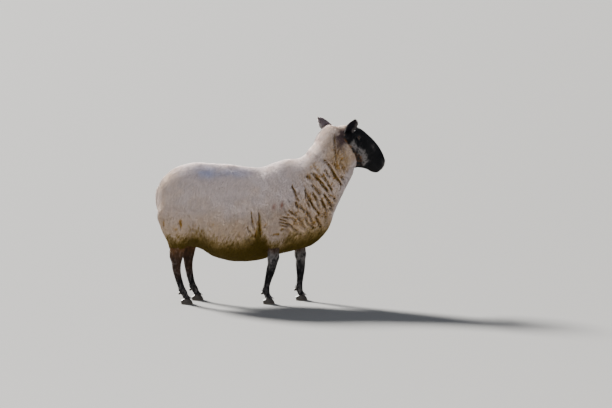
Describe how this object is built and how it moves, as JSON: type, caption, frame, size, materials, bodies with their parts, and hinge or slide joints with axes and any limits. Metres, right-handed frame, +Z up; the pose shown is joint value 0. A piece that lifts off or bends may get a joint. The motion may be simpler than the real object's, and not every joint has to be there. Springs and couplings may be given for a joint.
{
  "type": "sheep",
  "caption": "Still life-size ewe, standing with her head raised and turned to her left, cream fleece, dark speckled face and legs, cloven hooves on the floor.",
  "frame": {"origin": "on the floor, under the middle of the bounding box", "axes": "+X the way the ewe faces with her trunk, +Y to her left, +Z up"},
  "size_m": [1.1528, 0.4234, 0.9229],
  "materials": {
    "fleece": "matte cream wool, greyer on top and dirty olive brown below",
    "face_hair": "short near-black hair with grey-white speckled cheeks",
    "leg_hair": "short dark hair with pale mottles",
    "eye": "wet amber brown with a level slit pupil",
    "horn": "satin dark hoof horn"
  },
  "bodies": {
    "root": {"trunk": "fleece", "neck": "fleece", "tail": "fleece", "head": "face_hair", "ear_left": "face_hair", "ear_right": "face_hair", "eye_left": "eye", "eye_right": "eye", "upper_fore_right": "fleece", "lower_fore_right": "leg_hair", "claw_fore_right_left": "horn", "dewclaw_fore_right_left": "horn", "claw_fore_right_right": "horn", "dewclaw_fore_right_right": "horn", "upper_fore_left": "fleece", "lower_fore_left": "leg_hair", "claw_fore_left_left": "horn", "dewclaw_fore_left_left": "horn", "claw_fore_left_right": "horn", "dewclaw_fore_left_right": "horn", "upper_hind_right": "fleece", "lower_hind_right": "leg_hair", "claw_hind_right_left": "horn", "dewclaw_hind_right_left": "horn", "claw_hind_right_right": "horn", "dewclaw_hind_right_right": "horn", "upper_hind_left": "fleece", "lower_hind_left": "leg_hair", "claw_hind_left_left": "horn", "dewclaw_hind_left_left": "horn", "claw_hind_left_right": "horn", "dewclaw_hind_left_right": "horn"}
  },
  "joints": []
}
